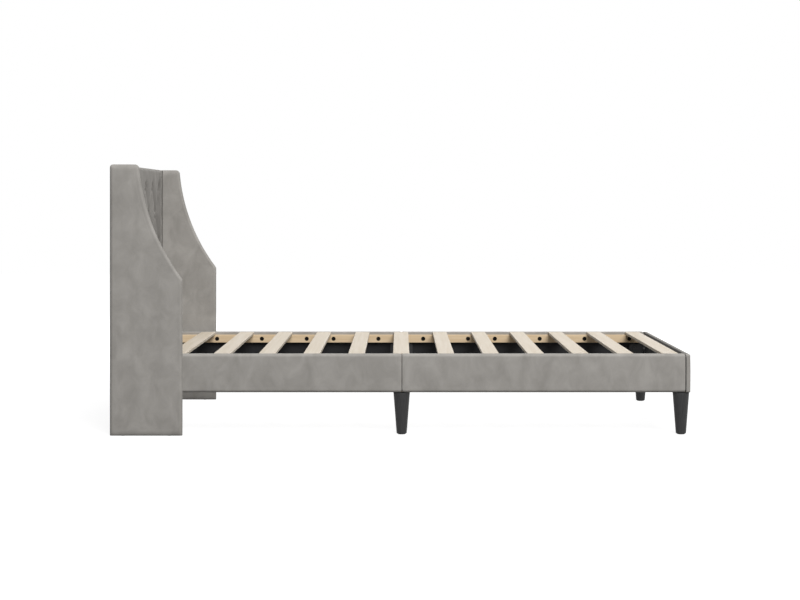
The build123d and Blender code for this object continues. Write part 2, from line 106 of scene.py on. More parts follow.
def seen_directly(tree):
    """One where the camera, a mirror or a clear body looks at a surface, and nought in the light
    that the surface gives: the greatest of the light path's three marks for such rays."""
    path = add_node(tree, "ShaderNodeLightPath")
    either = add_node(tree, "ShaderNodeMath", operation="MAXIMUM")
    any_way = add_node(tree, "ShaderNodeMath", operation="MAXIMUM")
    join(tree,
         (path.outputs["Is Camera Ray"], either.inputs[0]),
         (path.outputs["Is Glossy Ray"], either.inputs[1]),
         (either.outputs[0], any_way.inputs[0]),
         (path.outputs["Is Transmission Ray"], any_way.inputs[1]))
    return any_way.outputs[0]


room_light = 0.13
room = bpy.data.worlds.new("room")
room.use_nodes = True
room_tree = room.node_tree
room_tree.nodes.clear()
room_glow = add_node(room_tree, "ShaderNodeBackground",
                     {"Color": (1, 1, 1, 1), "Strength": room_light})
room_white = add_node(room_tree, "ShaderNodeBackground", {"Color": (1, 1, 1, 1), "Strength": 1})
room_mix = add_node(room_tree, "ShaderNodeMixShader")
room_out = add_node(room_tree, "ShaderNodeOutputWorld")
join(room_tree,
     (seen_directly(room_tree), room_mix.inputs[0]),
     (room_glow.outputs[0], room_mix.inputs[1]),
     (room_white.outputs[0], room_mix.inputs[2]),
     (room_mix.outputs[0], room_out.inputs["Surface"]))
bpy.context.scene.world = room

# What the camera sees of the floor is its lit paper and a glow. The glow rises in a straight
# line with the distance from the bed's middle, from its near level to one, which is white.
floor_half = 12
paper_grey = 0.22
paper_near = 1.4
paper_far = 3.2
paper_near_level = 0.88

floor_mesh = bpy.data.meshes.new("floor")
floor_corners = [(-floor_half, -floor_half, 0), (floor_half, -floor_half, 0),
                 (floor_half, floor_half, 0), (-floor_half, floor_half, 0)]
floor_mesh.from_pydata(floor_corners, [], [(0, 1, 2, 3)])
floor = bpy.data.objects.new("floor", floor_mesh)
bpy.context.scene.collection.objects.link(floor)
paper = bpy.data.materials.new("paper_floor")
paper.use_nodes = True
paper_tree = paper.node_tree
paper_tree.nodes.clear()
paper_white = add_node(paper_tree, "ShaderNodeBsdfDiffuse",
                       {"Color": (paper_grey, paper_grey, paper_grey, 1)})
paper_glow = add_node(paper_tree, "ShaderNodeEmission", {"Color": (1, 1, 1, 1)})
paper_place = add_node(paper_tree, "ShaderNodeTexCoord")
paper_distance = add_node(paper_tree, "ShaderNodeVectorMath", operation="LENGTH")
paper_spread = add_node(paper_tree, "ShaderNodeMapRange", {
    "From Min": paper_near, "From Max": paper_far, "To Min": paper_near_level, "To Max": 1.0})
paper_level = add_node(paper_tree, "ShaderNodeMath", operation="MULTIPLY")
join(paper_tree,
     (paper_place.outputs["Object"], paper_distance.inputs[0]),
     (paper_distance.outputs["Value"], paper_spread.inputs["Value"]),
     (paper_spread.outputs["Result"], paper_level.inputs[1]))
paper_sum = add_node(paper_tree, "ShaderNodeAddShader")
paper_out = add_node(paper_tree, "ShaderNodeOutputMaterial")
join(paper_tree,
     (seen_directly(paper_tree), paper_level.inputs[0]),
     (paper_level.outputs[0], paper_glow.inputs["Strength"]),
     (paper_white.outputs[0], paper_sum.inputs[0]),
     (paper_glow.outputs[0], paper_sum.inputs[1]),
     (paper_sum.outputs[0], paper_out.inputs["Surface"]))
floor_mesh.materials.append(paper)


# Legs: four turned legs of black stained hardwood, each screwed on by its hanger bolt
# through a steel plate under the rail. A plastic glide is nailed under each foot.
leg_height = 0.1438
leg_plate = 0.002
leg_glide = 0.0025
leg_top_radius = 0.0281
leg_foot_radius = 0.0173
leg_foot_round = 0.002
leg_top_round = 0.0008
leg_segments = 72
leg_taper_rings = 14


def add_piece(name, points, faces, material, replaced=(), crease=math.radians(40)):
    """A mesh piece of the bed, its faces turned outwards and smooth up to a crease angle."""
    mesh = bpy.data.meshes.new(name)
    mesh.from_pydata(points, [], faces)
    body = bmesh.new()
    body.from_mesh(mesh)
    bmesh.ops.recalc_face_normals(body, faces=body.faces)
    body.to_mesh(mesh)
    body.free()
    mesh.shade_smooth()
    mesh.set_sharp_from_angle(angle=crease)
    mesh.materials.append(material)
    piece = bpy.data.objects.new(name, mesh)
    bpy.context.scene.collection.objects.link(piece)
    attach(piece, "root")
    if replaced:
        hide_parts(*replaced)
    return piece


def shade_flats(piece):
    """Lets the broad flat faces of a planed piece set the shading, so that only its round edges
    turn the light: a corner faces the way of the faces round it, weighted by their areas."""
    even = piece.modifiers.new("even_shading", "WEIGHTED_NORMAL")
    even.keep_sharp = True
    even.weight = 100


def ring_faces(rings, around):
    """Quads between neighbouring closed rings of points, with a flat face over each end."""
    ring, spot = np.meshgrid(np.arange(rings - 1), np.arange(around), indexing="ij")
    ahead = (spot + 1) % around
    quads = np.stack([ring * around + spot, ring * around + ahead,
                      (ring + 1) * around + ahead, (ring + 1) * around + spot], axis=-1)
    first = list(range(around))
    last = [(rings - 1) * around + place for place in range(around)]
    return quads.reshape(-1, 4).tolist() + [first[::-1], last]


def turned(profile, centre, axis, segments):
    """Rings of a turned shape: each (radius, height) pair of the profile makes one circle round
    the axis, its points at the radius times the cosine and the sine of an even turn."""
    profile = np.array(profile, float)
    turn = np.linspace(0, 2 * np.pi, segments, endpoint=False)
    across = profile[:, :1] * np.cos(turn)
    along = profile[:, :1] * np.sin(turn)
    rise = np.repeat(profile[:, 1:], segments, axis=1)
    order = {"z": (across, along, rise), "y": (across, rise, along), "x": (rise, across, along)}
    return np.stack(order[axis], axis=-1).reshape(-1, 3) + np.array(centre, float)


def quarter(centre, radius, start, end, steps):
    """Points of a round edge: an arc about a centre from one angle to another, in degrees."""
    angles = np.radians(np.linspace(start, end, steps + 1))
    return [(centre[0] + radius * math.cos(angle), centre[1] + radius * math.sin(angle))
            for angle in angles]


def new_finish(name, roughness, specular):
    """A material with its shader tree and its shader, set to a roughness and a gloss."""
    material = bpy.data.materials.new(name)
    material.use_nodes = True
    shader = material.node_tree.nodes["Principled BSDF"]
    shader.inputs["Roughness"].default_value = roughness
    shader.inputs["Specular IOR Level"].default_value = specular
    return material, material.node_tree, shader


def two_tones(tree, start, end, first, second):
    """A straight ramp from the first colour to the second, between two levels of its input."""
    ramp = add_node(tree, "ShaderNodeValToRGB")
    for element, level, colour in zip(ramp.color_ramp.elements, (start, end), (first, second)):
        element.position = level
        element.color = (*colour, 1)
    return ramp


def painted(name, colour, spread, grain, size, roughness, depth, specular=0.4):
    """A finish whose colour swings by its spread either way, along a noise that the grain's
    scale stretches, and whose surface has a fine bump of the same noise."""
    material, tree, shader = new_finish(name, roughness, specular)
    place = add_node(tree, "ShaderNodeTexCoord")
    stretch = add_node(tree, "ShaderNodeMapping", {"Scale": grain})
    noise = add_node(tree, "ShaderNodeTexNoise", {"Scale": size, "Detail": 5, "Roughness": 0.62})
    ramp = two_tones(tree, 0.3, 0.7, [channel * (1 - spread) for channel in colour],
                     [channel * (1 + spread) for channel in colour])
    bump = add_node(tree, "ShaderNodeBump", {"Strength": 0.5, "Distance": depth})
    join(tree,
         (place.outputs["Object"], stretch.inputs["Vector"]),
         (stretch.outputs[0], noise.inputs["Vector"]),
         (noise.outputs["Fac"], ramp.inputs["Fac"]),
         (ramp.outputs["Color"], shader.inputs["Base Color"]),
         (noise.outputs["Fac"], bump.inputs["Height"]),
         (bump.outputs[0], shader.inputs["Normal"]))
    return material


def finish_node(name, material):
    """Gives a CAD node its finish."""
    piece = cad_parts[name]
    piece.data.materials.clear()
    piece.data.materials.append(material)


leg_wood = painted("black_stained_wood", (0.024, 0.024, 0.0245), spread=0.4,
                   grain=(1, 1, 0.045), size=420, roughness=0.5, depth=0.0002, specular=0.28)
glide_plastic = painted("black_glide_plastic", (0.05, 0.05, 0.05), spread=0.15,
                        grain=(1, 1, 1), size=300, roughness=0.5, depth=0.0001)
black_steel = painted("black_steel", (0.018, 0.018, 0.019), spread=0.2,
                      grain=(1, 1, 1), size=500, roughness=0.38, depth=0.00008)

# A leg's profile: a small round at the foot, a straight taper and a smaller round at the top.
leg_high = leg_height - leg_plate
leg_profile = [(leg_foot_radius - leg_foot_round, leg_glide)]
leg_profile += quarter((leg_foot_radius - leg_foot_round, leg_glide + leg_foot_round),
                       leg_foot_round, -90, 0, 6)[1:]
leg_rise = np.linspace(0, 1, leg_taper_rings)[1:-1]
leg_profile += [(leg_foot_radius + share * (leg_top_radius - leg_foot_radius),
                 leg_glide + share * (leg_high - leg_glide)) for share in leg_rise]
leg_profile += quarter((leg_top_radius - leg_top_round, leg_high - leg_top_round),
                       leg_top_round, 0, 90, 4)
for side in ("left", "right"):
    for place in ("mid", "foot"):
        low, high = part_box(f"leg_{side}_{place}")
        centre = ((low.x + high.x) / 2, (low.y + high.y) / 2, 0)
        add_piece(f"turned_leg_{side}_{place}", turned(leg_profile, centre, "z", leg_segments),
                  ring_faces(len(leg_profile), leg_segments), leg_wood,
                  [f"leg_{side}_{place}"])
finish_node("leg_glides", glide_plastic)
finish_node("leg_plates", black_steel)
finish_node("leg_hanger_bolts", black_steel)


# Side rails: each half is a board padded with foam and covered in velvet, which wraps over
# the top and is stapled inside, where a black cloth lines it. The halves meet over a leg.
rail_edges = {"top": 0.008, "foot": 0.010, "lip": 0.003}
rail_end_round = 0.0054
rail_crown = 0.0012
rail_top_crown = 0.002
rail_lining_step = 0.0009
rail_flap = 0.034
rail_under = 0.0015
rail_wave = 0.22
rail_outline_step = 0.008
rail_step = 0.012
staple_pitch = 0.045
staple_steps = 8
staple_pull = 0.0009
staple_reach = 0.006
cloth_stand = 0.82
cloth_swell = 0.18
cloth_wave = 0.13
cloth_edge_fade = 0.01
cloth_back = 0.04
both_sides = (("left", -1), ("right", 1))
velvet_dark = (0.245, 0.2335, 0.2165)
velvet_light = (0.332, 0.317, 0.2965)


def velvet(name, shade=1):
    """Short pile velvet: brushed patches of lighter and darker nap, a fine speckle, and a soft
    sheen. A shade below one darkens both colours alike, as painted shade."""
    material, tree, shader = new_finish(name, 0.9, 0.15)
    shader.inputs["Sheen Weight"].default_value = 0.1
    shader.inputs["Sheen Roughness"].default_value = 0.42
    shader.inputs["Sheen Tint"].default_value = (0.96, 0.93, 0.89, 1)
    place = add_node(tree, "ShaderNodeTexCoord")
    brush = add_node(tree, "ShaderNodeMapping", {"Scale": (1, 1, 0.7)})
    patches = add_node(tree, "ShaderNodeTexNoise",
                       {"Scale": 19, "Detail": 6, "Roughness": 0.56, "Distortion": 0.5})
    speckle = add_node(tree, "ShaderNodeTexNoise", {"Scale": 1300, "Detail": 2, "Roughness": 0.6})
    blend = add_node(tree, "ShaderNodeMix", {"Factor": 0.28}, data_type="FLOAT")
    ramp = two_tones(tree, 0.34, 0.68, [channel * shade for channel in velvet_dark],
                     [channel * shade for channel in velvet_light])
    pile = add_node(tree, "ShaderNodeBump", {"Strength": 0.35, "Distance": 0.0004})
    join(tree,
         (place.outputs["Object"], brush.inputs["Vector"]),
         (brush.outputs[0], patches.inputs["Vector"]),
         (place.outputs["Object"], speckle.inputs["Vector"]),
         (patches.outputs["Fac"], blend.inputs["A"]),
         (speckle.outputs["Fac"], blend.inputs["B"]),
         (blend.outputs["Result"], ramp.inputs["Fac"]),
         (ramp.outputs["Color"], shader.inputs["Base Color"]),
         (speckle.outputs["Fac"], pile.inputs["Height"]),
         (pile.outputs[0], shader.inputs["Normal"]))
    return material


def loop_points(corners, spacing):
    """A closed outline from (across, up, radius) corners. A corner becomes an arc that starts and
    ends at the radius over the tangent of half the corner's angle away from it, with a step for
    each 9 degrees of turn and at least four. A side is cut into steps of about the spacing."""
    corners = [(np.array(corner[:2], float), corner[2]) for corner in corners]
    arcs = []
    for number, (corner, radius) in enumerate(corners):
        before = corners[number - 1][0] - corner
        after = corners[(number + 1) % len(corners)][0] - corner
        before, after = before / np.linalg.norm(before), after / np.linalg.norm(after)
        half = math.acos(np.clip(before @ after, -1, 1)) / 2
        if radius == 0:
            arcs.append(corner[None])
            continue
        inwards = (before + after) / np.linalg.norm(before + after)
        middle = corner + inwards * radius / math.sin(half)
        reach = radius / math.tan(half)
        start, end = corner + before * reach - middle, corner + after * reach - middle
        steps = max(4, int(math.degrees(math.pi - 2 * half) / 9))
        share = np.linspace(0, 1, steps + 1)[:, None]
        bent = (1 - share) * start + share * end
        arcs.append(middle + radius * bent / np.linalg.norm(bent, axis=1)[:, None])
    points = []
    for number, arc in enumerate(arcs):
        following = arcs[(number + 1) % len(arcs)][0]
        count = max(1, round(np.linalg.norm(following - arc[-1]) / spacing))
        share = np.linspace(0, 1, count, endpoint=False)[1:, None]
        points += [arc, arc[-1] * (1 - share) + following * share]
    return np.concatenate(points)


def end_inset(places, start, end, radius):
    """How far a round edge draws in at places between two ends: the radius less the height of
    its quarter circle, at the gap to the nearer end."""
    short = np.clip(radius - np.minimum(places - start, end - places), 0, radius)
    return radius - np.sqrt(radius**2 - short**2)


def end_spaced(length, radius, spacing):
    """Places along a length: even steps between the round edges, and over each edge close steps
    at the radius times one less the cosine of an even turn."""
    turn = np.linspace(0, np.pi / 2, 7)[:-1]
    edge = radius * (1 - np.cos(turn))
    count = max(2, round((length - 2 * radius) / spacing) + 1)
    middle = np.linspace(radius, length - radius, count)
    return np.concatenate([edge, middle, (length - edge)[::-1]])


def unevenness(first, second, seed, scale):
    """Gentle hollows of padded cloth, from -1 to 1: the mean of six sines of the way along a
    drawn direction, each with a drawn start and a length near the scale."""
    draw = np.random.default_rng(seed)
    total = 0
    for wave in range(6):
        turn, phase = draw.uniform(0, 2 * np.pi), draw.uniform(0, 2 * np.pi)
        stretch = draw.uniform(0.6, 1.6)
        along = first * np.cos(turn) + second * np.sin(turn)
        total = total + np.sin(along * stretch * 2 * np.pi / scale + phase)
    return total / 6


def grid_quads(sheet):
    """Quads between the neighbours in a grid of point numbers."""
    return np.stack([sheet[:-1, :-1], sheet[:-1, 1:], sheet[1:, 1:], sheet[1:, :-1]],
                    axis=-1).reshape(-1, 4)


def cloth_panel(name, node, thin, facing, material, seed):
    """A cloth stretched over its node's place and stapled to its backing. Its outer face stands
    out by a share of the node's thickness, which swells by slow waves that fade at the edge. Each
    edge is pulled in between staples by one less the cosine of the way along it, which falls off
    as e to the minus gap over reach. A second grid close to the backing closes it behind."""
    low, high = (np.array(corner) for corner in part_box(node))
    axis = "xyz".index(thin)
    first, second = [number for number in range(3) if number != axis]
    counts = [int((high[number] - low[number]) / staple_pitch * staple_steps) // 2 * 2 + 2
              for number in (first, second)]
    spread = [np.linspace(0, 1, count + 1) for count in counts]
    across, up = np.meshgrid(low[first] + spread[0] * (high[first] - low[first]),
                             low[second] + spread[1] * (high[second] - low[second]), indexing="ij")
    gaps = [np.minimum(across - low[first], high[first] - across),
            np.minimum(up - low[second], high[second] - up)]
    for line, other, gap, number in ((across, up, gaps[1], second), (up, across, gaps[0], first)):
        wave = 1 - np.cos(2 * np.pi * line / staple_pitch)
        pull = staple_pull * wave * np.exp(-gap / staple_reach)
        other += np.where(other < (low[number] + high[number]) / 2, pull, -pull)
    thick = high[axis] - low[axis]
    edge = np.clip(np.minimum(gaps[0], gaps[1]) / cloth_edge_fade, 0, 1)
    swell = thick * (cloth_stand + cloth_swell * unevenness(across, up, seed, cloth_wave) * edge)
    rest = low[axis] if facing > 0 else high[axis]
    points = []
    for face in (swell, np.full(swell.shape, cloth_back * thick)):
        parts = [None] * 3
        parts[axis], parts[first], parts[second] = rest + facing * face, across, up
        points.append(np.stack(parts, axis=-1).reshape(-1, 3))
    rows, columns = across.shape
    grid = np.arange(rows * columns).reshape(rows, columns)
    quads = [grid_quads(grid), grid_quads(grid[::-1] + rows * columns)]
    border = np.concatenate([grid[0], grid[1:, -1], grid[-1, -2::-1], grid[-2:0:-1, 0]])
    ahead = np.roll(border, -1)
    quads.append(np.stack([border, border + rows * columns, ahead + rows * columns, ahead],
                          axis=-1))
    panel = add_piece(name, np.concatenate(points), np.concatenate(quads).tolist(), material,
                      [node])


grey_velvet = velvet("grey_velvet")
lining_cloth = painted("black_lining_cloth", (0.0155, 0.0155, 0.0165), spread=0.25,
                       grain=(1, 1, 1), size=900, roughness=0.85, depth=0.0003, specular=0.2)
bare_board = painted("bare_board", (0.36, 0.29, 0.20), spread=0.2,
                     grain=(0.1, 1, 1), size=60, roughness=0.7, depth=0.0003, specular=0.3)

# A cover is its outline carried along the rail, and each end draws in as a quarter circle, at
# the top and the foot too. Its outer face stands back from the flat by the crown times the
# square of the height from its middle, less half a slow wave that fades at the edges. Its top,
# the last seventh of that height, rises as a parabola.
for side, facing in both_sides:
    for ending, seed in (("head", 3), ("foot", 5)):
        low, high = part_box(f"side_rail_cover_{side}_{ending}")
        inner, outer = sorted((abs(low.y), abs(high.y)))
        behind = inner + rail_lining_step
        section = loop_points([
            (outer, low.z, rail_edges["foot"]), (outer, high.z, rail_edges["top"]),
            (inner, high.z, rail_edges["lip"]), (inner, high.z - rail_flap, 0),
            (behind, high.z - rail_flap, 0), (behind, low.z + rail_under, 0),
            (inner, low.z + rail_under, 0), (inner, low.z, 0)], rail_outline_step)
        stations = low.x + end_spaced(high.x - low.x, rail_end_round, rail_step)
        draw_in = end_inset(stations, low.x, high.x, rail_end_round)[:, None]
        middle = np.array([(outer + inner) / 2, (low.z + high.z) / 2])
        half = np.array([(outer - inner) / 2, (high.z - low.z) / 2])
        rise = (section[:, 1] - middle[1]) / half[1]
        outwards = np.clip((section[:, 0] - inner) / (outer - inner), 0, 1)
        waves = unevenness(stations[:, None], section[None, :, 1], seed, rail_wave)
        soft = rail_crown * (rise**2 - 0.5 * waves * (1 - rise**2))
        across = section[:, 0] - outwards * (draw_in + soft)
        up = section[:, 1] - np.clip(rise * 1.4, -1, 1) * draw_in * (outwards > 0.02)
        near_top = np.clip(rise * 7 - 6, 0, 1)
        up = up + rail_top_crown * (1 - ((section[:, 0] - middle[0]) / half[0])**2) * near_top
        along = np.repeat(stations[:, None], len(section), axis=1)
        points = np.stack([along, facing * across, up], axis=-1).reshape(-1, 3)
        cover = add_piece(f"padded_rail_{side}_{ending}", points,
                          ring_faces(len(stations), len(section)), grey_velvet,
                          [f"side_rail_cover_{side}_{ending}"])
        cloth_panel(f"stapled_lining_{side}_{ending}", f"side_rail_lining_{side}_{ending}", "y",
                    -facing, lining_cloth, seed + 30)
        finish_node(f"side_rail_core_{side}_{ending}", bare_board)


# Foot rail: a thin board in a velvet cover, which closes the ends of both side rails. Its inner
# top edge is darkened with painted shade, and black cloth lines the side that faces the slats.
foot_edges = {"foot": 0.004, "top": 0.0026, "lip": 0.0015}
foot_crown = 0.0003
foot_flap = 0.008
foot_wave = 0.2
foot_wave_depth = 0.0006
foot_inner_draw = 0.8
foot_outline_step = 0.005
# Painted shade: the colour of the foot rail's inner top edge goes towards this near black.
painted_shade_colour = (0.03, 0.03, 0.03, 1)
painted_shade_most = 0.82
painted_shade_reach = (0.001, 0.014)
painted_shade_drop = (0.013, 0.011)
painted_shade_end_fade = (0.012, 0.004)

# This cover is made as the side rails' covers are, with its outline carried across the bed.
# Its inner face draws in at the ends too, by a share of what the outer face draws in.
low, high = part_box("foot_rail_cover")
behind = low.x + rail_lining_step
section = loop_points([
    (high.x, low.z, foot_edges["foot"]), (high.x, high.z, foot_edges["top"]),
    (low.x, high.z, foot_edges["lip"]), (low.x, high.z - foot_flap, 0),
    (behind, high.z - foot_flap, 0), (behind, low.z + rail_under, 0),
    (low.x, low.z + rail_under, 0), (low.x, low.z, 0)], foot_outline_step)
stations = low.y + end_spaced(high.y - low.y, rail_end_round, rail_step)
draw_in = end_inset(stations, low.y, high.y, rail_end_round)[:, None]
rise = (section[:, 1] - (low.z + high.z) / 2) / ((high.z - low.z) / 2)
outwards = np.clip((section[:, 0] - low.x) / (high.x - low.x), 0, 1)
waves = unevenness(stations[:, None], section[None, :, 1], seed=8, scale=foot_wave)
soft = foot_crown * rise**2 - foot_wave_depth * waves * (1 - rise**2)
across = section[:, 0] - outwards * (draw_in + soft) + (1 - outwards) * draw_in * foot_inner_draw
up = section[:, 1] - np.clip(rise * 1.4, -1, 1) * draw_in
along = np.repeat(stations[:, None], len(section), axis=1)
points = np.stack([across, along, up], axis=-1).reshape(-1, 3)

# The painted shade takes the colour towards near black by a share, the product of three straight
# ramps. The first falls over the shade's reach from the inner face, the second keeps it to the
# top of the rail, and the third lets it fade out before each end.
shaded_foot_velvet = velvet("grey_velvet_painted_edge_shade")
shade_tree = shaded_foot_velvet.node_tree
shade_place = add_node(shade_tree, "ShaderNodeTexCoord")
shade_parts = add_node(shade_tree, "ShaderNodeSeparateXYZ")
shade_span = add_node(shade_tree, "ShaderNodeMath", operation="ABSOLUTE")
shade_tone = add_node(shade_tree, "ShaderNodeMapRange", {
    "From Min": low.x + painted_shade_reach[0], "From Max": low.x + painted_shade_reach[1],
    "To Min": painted_shade_most, "To Max": 0})
shade_top = add_node(shade_tree, "ShaderNodeMapRange", {
    "From Min": high.z - painted_shade_drop[0], "From Max": high.z - painted_shade_drop[1]})
shade_end = add_node(shade_tree, "ShaderNodeMapRange", {
    "From Min": high.y - painted_shade_end_fade[0], "From Max": high.y - painted_shade_end_fade[1],
    "To Min": 1, "To Max": 0})
shade_on_top = add_node(shade_tree, "ShaderNodeMath", operation="MULTIPLY")
shade_share = add_node(shade_tree, "ShaderNodeMath", operation="MULTIPLY")
shade_mix = add_node(shade_tree, "ShaderNodeMix", {"B": painted_shade_colour}, data_type="RGBA")
shade_shader = shade_tree.nodes["Principled BSDF"]
brushed_colour = shade_shader.inputs["Base Color"].links[0].from_socket
join(shade_tree,
     (shade_place.outputs["Object"], shade_parts.inputs[0]),
     (shade_parts.outputs["X"], shade_tone.inputs["Value"]),
     (shade_parts.outputs["Y"], shade_span.inputs[0]),
     (shade_parts.outputs["Z"], shade_top.inputs["Value"]),
     (shade_span.outputs[0], shade_end.inputs["Value"]),
     (shade_tone.outputs[0], shade_on_top.inputs[0]),
     (shade_top.outputs[0], shade_on_top.inputs[1]),
     (shade_on_top.outputs[0], shade_share.inputs[0]),
     (shade_end.outputs[0], shade_share.inputs[1]),
     (shade_share.outputs[0], shade_mix.inputs["Factor"]),
     (brushed_colour, shade_mix.inputs["A"]),
     (shade_mix.outputs["Result"], shade_shader.inputs["Base Color"]))

foot_cover = add_piece("padded_foot_rail", points, ring_faces(len(stations), len(section)),
                       shaded_foot_velvet, ["foot_rail_cover", "foot_rail_core"])
cloth_panel("stapled_lining_foot", "foot_rail_lining", "x", -1, lining_cloth,
            seed=41)


# Steel fittings: pressed corner brackets and joint plates of black steel, held by hexagon
# head bolts through the rails, the headboard and the foot rail.
for name in ("head_corner_brackets", "head_corner_bolts", "foot_corner_brackets",
             "foot_corner_bolts", "rail_joint_plates", "rail_joint_bolts"):
    finish_node(name, black_steel)


# Ledgers: planed softwood strips with eased edges, three along each rail. Each is held by
# four black bolts whose round heads lie in counterbores.
ledger_edge = 0.001
ledger_crease = math.radians(25)
ledger_outline_step = 0.05
bolt_count = 4
bolt_margin = 0.05325
bolt_bore = 0.003
bolt_shank = 0.034
bolt_tip = 0.0001
bolt_sink_radius = 0.0084
bolt_sink_depth = 0.007
bolt_head_radius = 0.0082
bolt_head_height = 0.0055
bolt_head_crease = math.radians(35)
socket_share = 0.42
plug_beyond = 0.001
hole_segments = 32


def repeated(faces, count, points):
    """Faces of as many like shapes as counted, whose points follow one another in one mesh."""
    return [[vertex + number * points for vertex in face]
            for number in range(count) for face in faces]


def wood(name, pale, dark, ring_scale, along, roughness):
    """Planed softwood: growth lines drawn out along the grain, fine fibres, and a faint bump."""
    material, tree, shader = new_finish(name, roughness, 0.3)
    squeeze = [1, 1, 1]
    squeeze["xyz".index(along)] = 0.035
    place = add_node(tree, "ShaderNodeTexCoord")
    grain = add_node(tree, "ShaderNodeMapping", {"Scale": squeeze})
    lines = add_node(tree, "ShaderNodeTexNoise",
                     {"Scale": ring_scale, "Detail": 3, "Roughness": 0.5, "Distortion": 0.4})
    fibres = add_node(tree, "ShaderNodeTexNoise", {"Scale": 900, "Detail": 3, "Roughness": 0.7})
    blend = add_node(tree, "ShaderNodeMix", {"Factor": 0.3}, data_type="FLOAT")
    ramp = two_tones(tree, 0.36, 0.64, dark, pale)
    bump = add_node(tree, "ShaderNodeBump", {"Strength": 0.3, "Distance": 0.0002})
    join(tree,
         (place.outputs["Object"], grain.inputs["Vector"]),
         (grain.outputs[0], lines.inputs["Vector"]),
         (grain.outputs[0], fibres.inputs["Vector"]),
         (lines.outputs["Fac"], blend.inputs["A"]),
         (fibres.outputs["Fac"], blend.inputs["B"]),
         (blend.outputs["Result"], ramp.inputs["Fac"]),
         (ramp.outputs["Color"], shader.inputs["Base Color"]),
         (fibres.outputs["Fac"], bump.inputs["Height"]),
         (bump.outputs[0], shader.inputs["Normal"]))
    return material


black_oxide = painted("black_oxide_bolt", (0.006, 0.005, 0.0042), spread=0.2,
                      grain=(1, 1, 1), size=700, roughness=0.7, depth=0.00005, specular=0.08)
ledger_wood = wood("ledger_softwood", pale=(0.640, 0.497, 0.327), dark=(0.565, 0.420, 0.262),
                   ring_scale=120, along="x", roughness=0.6)

# A strip is its outline between two ends. Turned, stepped plugs cut its counterbores and bolt
# holes, and each bolt is one turned shape, from its shank's end to the floor of its socket.
for side, facing in both_sides:
    bolt_rings = []
    for place in ("head", "mid", "foot"):
        low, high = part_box(f"ledger_{side}_{place}")
        inner, outer = sorted((abs(low.y), abs(high.y)))
        section = loop_points([(outer, low.z, 0), (outer, high.z, 0), (inner, high.z, ledger_edge),
                               (inner, low.z, ledger_edge)], ledger_outline_step)
        points = np.concatenate([
            np.stack([np.full(len(section), station), facing * section[:, 0], section[:, 1]],
                     axis=-1) for station in (low.x, high.x)])
        strip = add_piece(f"ledger_strip_{side}_{place}", points, ring_faces(2, len(section)),
                          ledger_wood, [f"ledger_{side}_{place}"],
                          crease=ledger_crease)
        spots = np.linspace(low.x + bolt_margin, high.x - bolt_margin, bolt_count)
        middle_z = (low.z + high.z) / 2
        seat = inner + bolt_sink_depth
        plug = [(bolt_bore, facing * (outer + plug_beyond)), (bolt_bore, facing * seat),
                (bolt_sink_radius, facing * seat),
                (bolt_sink_radius, facing * (inner - plug_beyond))]
        cuts = np.concatenate([turned(plug, (spot, 0, middle_z), "y", hole_segments)
                               for spot in spots])
        cut_faces = repeated(ring_faces(len(plug), hole_segments), bolt_count,
                             len(plug) * hole_segments)
        cutter = add_piece("bolt_sinks", cuts, cut_faces, ledger_wood)
        drill = strip.modifiers.new("bolt_sinks", "BOOLEAN")
        drill.operation = "DIFFERENCE"
        drill.solver = "EXACT"
        drill.object = cutter
        seen = bpy.context.evaluated_depsgraph_get()
        drilled = bpy.data.meshes.new_from_object(strip.evaluated_get(seen))
        strip.modifiers.clear()
        drilled.shade_smooth()
        drilled.set_sharp_from_angle(angle=ledger_crease)
        strip.data = drilled
        shade_flats(strip)
        bpy.data.objects.remove(cutter)
        # The head's rim is rounded over its last 1.4 mm, and its socket is 2 mm deep.
        top = seat - bolt_head_height
        socket = bolt_head_radius * socket_share
        shank_end = seat + bolt_shank
        bolt = [(bolt_tip, facing * shank_end), (bolt_bore, facing * shank_end),
                (bolt_bore, facing * seat), (bolt_head_radius, facing * seat),
                (bolt_head_radius, facing * (top + 0.0014)),
                (bolt_head_radius * 0.93, facing * (top + 0.0006)),
                (bolt_head_radius * 0.78, facing * (top + 0.0001)),
                (socket * 1.15, facing * top), (socket, facing * (top + 0.0003)),
                (socket * 0.95, facing * (top + 0.002))]
        bolt_rings += [turned(bolt, (spot, 0, middle_z), "y", hole_segments) for spot in spots]
    bolt_faces = repeated(ring_faces(len(bolt), hole_segments), len(bolt_rings),
                          len(bolt) * hole_segments)
    add_piece(f"round_head_bolts_{side}", np.concatenate(bolt_rings), bolt_faces, black_oxide,
              [f"ledger_bolts_{side}"], crease=bolt_head_crease)


# Slats: thirteen planed pale softwood boards with rounded edges, laid loose on the ledgers
# between the rails.
slat_count = 13
slat_round = 0.0022
slat_end_round = 0.0008
slat_outline_step = 0.02
slat_step = 0.12
slat_crease = math.radians(50)

slat_wood = wood("slat_softwood", pale=(0.522, 0.468, 0.394), dark=(0.470, 0.408, 0.322),
                 ring_scale=75, along="y", roughness=0.55)

# A slat is its rounded outline carried across the bed. At both ends the outline shrinks
# towards its middle, each way by the inset of a quarter circle.
for number in range(1, slat_count + 1):
    name = f"slat_{number:02d}"
    low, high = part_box(name)
    section = loop_points([
        (low.x, low.z, slat_round), (high.x, low.z, slat_round), (high.x, high.z, slat_round),
        (low.x, high.z, slat_round)], slat_outline_step)
    middle = np.array([(low.x + high.x) / 2, (low.z + high.z) / 2])
    half = np.array([(high.x - low.x) / 2, (high.z - low.z) / 2])
    stations = low.y + end_spaced(high.y - low.y, slat_end_round, slat_step)
    draw_in = end_inset(stations, low.y, high.y, slat_end_round)[:, None, None]
    drawn = section[None] - ((section - middle) / half)[None] * draw_in
    along = np.repeat(stations[:, None], len(section), axis=1)
    points = np.stack([drawn[..., 0], along, drawn[..., 1]], axis=-1).reshape(-1, 3)
    shade_flats(add_piece(f"board_{name}", points, ring_faces(len(stations), len(section)),
                          slat_wood, [name], crease=slat_crease))


